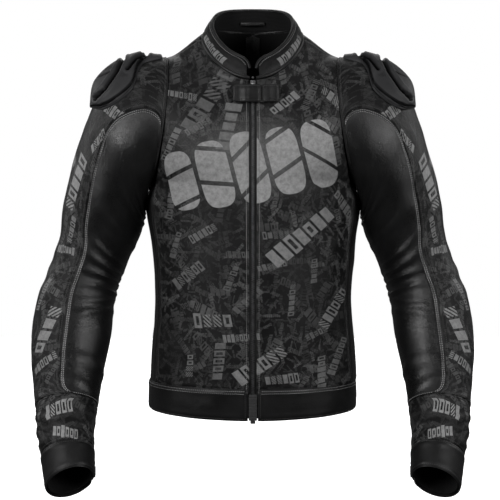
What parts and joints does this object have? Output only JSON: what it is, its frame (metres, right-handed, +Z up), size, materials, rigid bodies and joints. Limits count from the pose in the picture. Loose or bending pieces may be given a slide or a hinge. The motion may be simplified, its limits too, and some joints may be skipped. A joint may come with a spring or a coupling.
{
  "type": "leather riding jacket",
  "caption": "Waist-length leather riding jacket with a stand-up collar, front zip, neck tab, shoulder cups, stretch sleeve panels and zipped cuffs.",
  "frame": {"origin": "centre of the neck opening, on the level where the collar meets the shoulders", "axes": "+Z up, -Y the front of the jacket, +X the wearer's left"},
  "size_m": [0.7208, 0.3327, 0.7769],
  "materials": {
    "printed_leather": "matte printed leather with a fine grain",
    "black_leather": "semi-matte grained leather",
    "black_stretch_leather": "soft grained leather with a low sheen",
    "knit_trim": "ribbed knit",
    "cup_elastomer": "matte moulded elastomer",
    "mesh_lining": "open mesh",
    "zip_tape": "woven tape",
    "zip_metal": "satin metal",
    "armour_foam": "moulded foam"
  },
  "bodies": {
    "jacket_body": {"armhole_welt_left": "black_leather", "armhole_welt_right": "black_leather", "back_lining_left": "mesh_lining", "back_lining_right": "mesh_lining", "back_panel_left": "printed_leather", "back_panel_right": "printed_leather", "back_protector": "armour_foam", "collar_binding": "black_leather", "collar_lining": "mesh_lining", "collar_stand": "printed_leather", "connection_zip": "zip_tape", "front_lining_left": "mesh_lining", "front_lining_right": "mesh_lining", "front_panel_left": "printed_leather", "front_panel_right": "printed_leather", "hanger_loop": "black_leather", "hem_zip_guard": "knit_trim", "neck_tab_anchor": "black_leather", "side_panel_left": "black_stretch_leather", "side_panel_right": "black_stretch_leather", "storm_flap": "black_leather", "waistband_back": "black_leather", "waistband_front_left": "black_leather", "waistband_front_right": "black_leather", "zip_end_box": "zip_metal", "zip_tape_left": "zip_tape", "zip_tape_right": "zip_tape", "zip_teeth_left": "zip_metal", "zip_teeth_right": "zip_metal"},
    "main_zip_slider": {"main_zip_slider": "zip_metal"},
    "main_zip_pull": {"main_zip_pull": "zip_metal"},
    "neck_tab": {"neck_tab": "black_leather"},
    "left_upper_arm": {"upper_sleeve_outer_left": "printed_leather", "upper_sleeve_inner_left": "black_stretch_leather", "elbow_section_left": "black_stretch_leather", "shoulder_cup_left": "cup_elastomer", "shoulder_pad_left": "armour_foam"},
    "left_forearm": {"forearm_outer_left": "printed_leather", "forearm_inner_left": "black_stretch_leather", "wrist_panel_left": "printed_leather", "cuff_left": "black_leather", "forearm_lining_left": "mesh_lining", "cuff_zip_teeth_left": "zip_metal", "elbow_pad_left": "armour_foam"},
    "left_cuff_zip_slider": {"cuff_zip_slider_left": "zip_metal"},
    "left_cuff_zip_pull": {"cuff_zip_pull_left": "zip_metal"},
    "right_upper_arm": {"upper_sleeve_outer_right": "printed_leather", "upper_sleeve_inner_right": "black_stretch_leather", "elbow_section_right": "black_stretch_leather", "shoulder_cup_right": "cup_elastomer", "shoulder_pad_right": "armour_foam"},
    "right_forearm": {"forearm_outer_right": "printed_leather", "forearm_inner_right": "black_stretch_leather", "wrist_panel_right": "printed_leather", "cuff_right": "black_leather", "forearm_lining_right": "mesh_lining", "cuff_zip_teeth_right": "zip_metal", "elbow_pad_right": "armour_foam"},
    "right_cuff_zip_slider": {"cuff_zip_slider_right": "zip_metal"},
    "right_cuff_zip_pull": {"cuff_zip_pull_right": "zip_metal"}
  },
  "joints": [
    {"name": "main_zip_slide", "type": "hinge", "parent": "jacket_body", "child": "main_zip_slider", "pos_m": [0, 1.54042, -0.3542], "axis": [1, 0, 0], "range_deg": [0, 15.9]},
    {"name": "main_zip_pull_swing", "type": "hinge", "parent": "main_zip_slider", "child": "main_zip_pull", "pos_m": [0, -0.09742, -0.04635], "axis": [-1, 0, 0], "range_deg": [0, 8]},
    {"name": "neck_tab_open", "type": "hinge", "parent": "jacket_body", "child": "neck_tab", "pos_m": [0.01424, -0.10475, -0.0596], "axis": [0, 0.177, 0.9842], "range_deg": [0, 120]},
    {"name": "left_shoulder_swing", "type": "hinge", "parent": "jacket_body", "child": "left_upper_arm", "pos_m": [0.159, 0.005, -0.104], "axis": [-0.9764, 0.1669, -0.1372], "range_deg": [-20, 70]},
    {"name": "left_elbow_bend", "type": "hinge", "parent": "left_upper_arm", "child": "left_forearm", "pos_m": [0.28, 0.003, -0.3605], "axis": [-1, 0, 0], "range_deg": [-20, 55], "deforming": ["elbow_section_left"]},
    {"name": "left_cuff_zip_slide", "type": "slide", "parent": "left_forearm", "child": "left_cuff_zip_slider", "axis": [0.066, 0.7186, 0.6923], "range_m": [0, 0.045]},
    {"name": "left_cuff_zip_pull_swing", "type": "hinge", "parent": "left_cuff_zip_slider", "child": "left_cuff_zip_pull", "pos_m": [0.24786, -0.14073, -0.6462], "axis": [0.3949, 0.6158, -0.6818], "range_deg": [0, 120]},
    {"name": "right_shoulder_swing", "type": "hinge", "parent": "jacket_body", "child": "right_upper_arm", "pos_m": [-0.159, 0.005, -0.104], "axis": [-0.9764, -0.1669, 0.1372], "range_deg": [-20, 70]},
    {"name": "right_elbow_bend", "type": "hinge", "parent": "right_upper_arm", "child": "right_forearm", "pos_m": [-0.28, 0.003, -0.3605], "axis": [-1, 0, 0], "range_deg": [-20, 55], "deforming": ["elbow_section_right"]},
    {"name": "right_cuff_zip_slide", "type": "slide", "parent": "right_forearm", "child": "right_cuff_zip_slider", "axis": [-0.066, 0.7186, 0.6923], "range_m": [0, 0.045]},
    {"name": "right_cuff_zip_pull_swing", "type": "hinge", "parent": "right_cuff_zip_slider", "child": "right_cuff_zip_pull", "pos_m": [-0.24786, -0.14073, -0.6462], "axis": [0.3949, -0.6158, 0.6818], "range_deg": [0, 120]}
  ]
}
